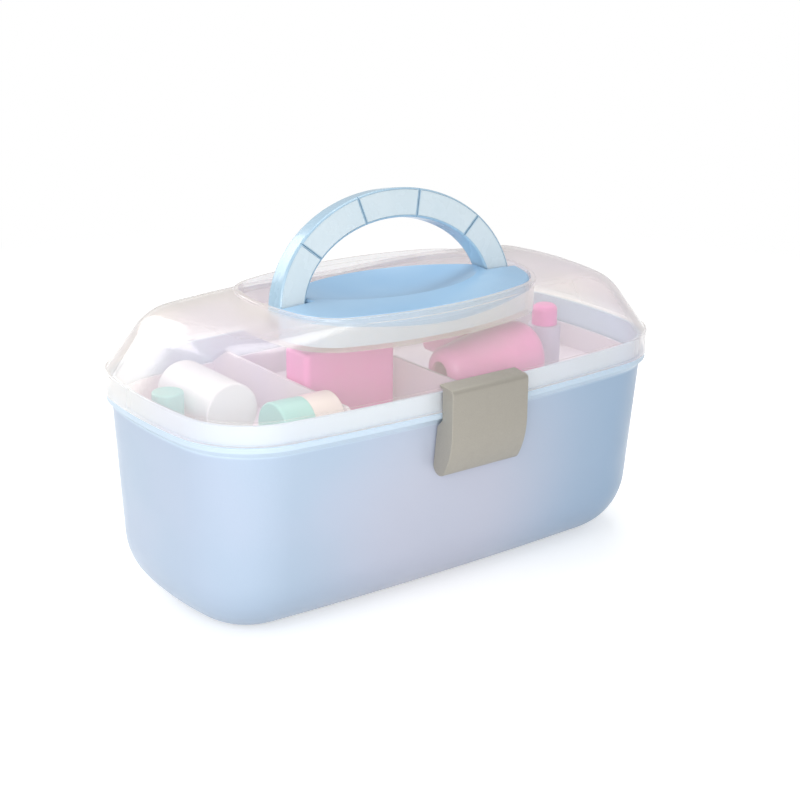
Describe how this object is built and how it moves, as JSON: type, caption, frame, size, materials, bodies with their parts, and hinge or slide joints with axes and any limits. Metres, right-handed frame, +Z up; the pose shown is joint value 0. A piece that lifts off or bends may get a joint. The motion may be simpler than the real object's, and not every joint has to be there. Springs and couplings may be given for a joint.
{
  "type": "toy beauty case",
  "caption": "Child's toy vanity case: moulded tub, clear domed lid on back hinges, folding carrying handle, front latch, and a lift-out tray with toy bottles and a dryer",
  "frame": {"origin": "centre of the flat underside that the case stands on", "axes": "X along the case, the latch on the -Y side and the hinges on the +Y side, +Z up from the surface the case stands on"},
  "size_m": [0.26, 0.1529, 0.1794],
  "materials": {
    "tub_blue": "moulded, semi-gloss",
    "lid_clear": "clear moulded plastic",
    "handle_blue": "moulded, semi-gloss",
    "panel_pale": "moulded, semi-gloss",
    "latch_grey": "moulded, semi-gloss",
    "pin_steel": "drawn wire",
    "tray_white": "moulded, satin",
    "toy_white": "moulded, glossy",
    "toy_cream": "moulded, glossy",
    "toy_lilac": "moulded, glossy",
    "toy_pink": "moulded, glossy",
    "toy_deep_pink": "moulded, glossy",
    "toy_teal": "moulded, glossy"
  },
  "bodies": {
    "case": {"tub": "tub_blue", "hinge_pins": "pin_steel", "latch_pin": "pin_steel"},
    "lid": {"lid": "lid_clear", "handle_base": "handle_blue", "base_screws": "pin_steel", "handle_pins": "pin_steel"},
    "handle": {"handle": "handle_blue", "handle_inlays": "panel_pale"},
    "latch": {"latch": "latch_grey"},
    "tray": {"tray": "tray_white", "jar_body": "toy_white", "vial_body": "toy_cream", "tube_body": "toy_cream", "perfume_bottle": "toy_lilac", "box_base": "toy_pink", "dryer_shell_upper": "toy_pink", "dryer_shell_lower": "toy_pink", "dryer_grille": "toy_deep_pink"},
    "jar_cap": {"jar_cap": "toy_white"},
    "vial_cap": {"vial_cap": "toy_teal"},
    "tube_cap": {"tube_cap": "toy_teal"},
    "perfume_cap": {"perfume_cap": "toy_pink"},
    "box_lid": {"box_lid": "toy_pink"},
    "dryer_button": {"dryer_button": "toy_deep_pink"}
  },
  "joints": [
    {"name": "lid_hinge", "type": "hinge", "parent": "case", "child": "lid", "pos_m": [0, 0.0725, 0.097], "axis": [-1, 0, 0], "range_deg": [0, 105]},
    {"name": "latch_hinge", "type": "hinge", "parent": "case", "child": "latch", "pos_m": [0, -0.06768, 0.0702], "axis": [1, 0, 0], "range_deg": [0, 65]},
    {"name": "handle_fold", "type": "hinge", "parent": "lid", "child": "handle", "pos_m": [0, -0.006, 0.1285], "axis": [-1, 0, 0], "range_deg": [-11, 79]},
    {"name": "tray_lift", "type": "slide", "parent": "case", "child": "tray", "axis": [0, 0, 1], "range_m": [0, 0.0015]},
    {"name": "jar_cap_pull", "type": "slide", "parent": "tray", "child": "jar_cap", "axis": [0, -1, 0], "range_m": [0, 0.01]},
    {"name": "vial_cap_pull", "type": "slide", "parent": "tray", "child": "vial_cap", "axis": [0, 0, 1], "range_m": [0, 0.0065]},
    {"name": "tube_cap_pull", "type": "slide", "parent": "tray", "child": "tube_cap", "axis": [-1, 0, 0], "range_m": [0, 0.012]},
    {"name": "perfume_cap_pull", "type": "slide", "parent": "tray", "child": "perfume_cap", "axis": [0, 0, 1], "range_m": [0, 0.008]},
    {"name": "box_lid_lift", "type": "slide", "parent": "tray", "child": "box_lid", "axis": [0, 0, 1], "range_m": [0, 0.003]},
    {"name": "dryer_button_push", "type": "slide", "parent": "tray", "child": "dryer_button", "axis": [0, 0, -1], "range_m": [0, 0.0015], "stiffness_N_per_m": 120}
  ]
}
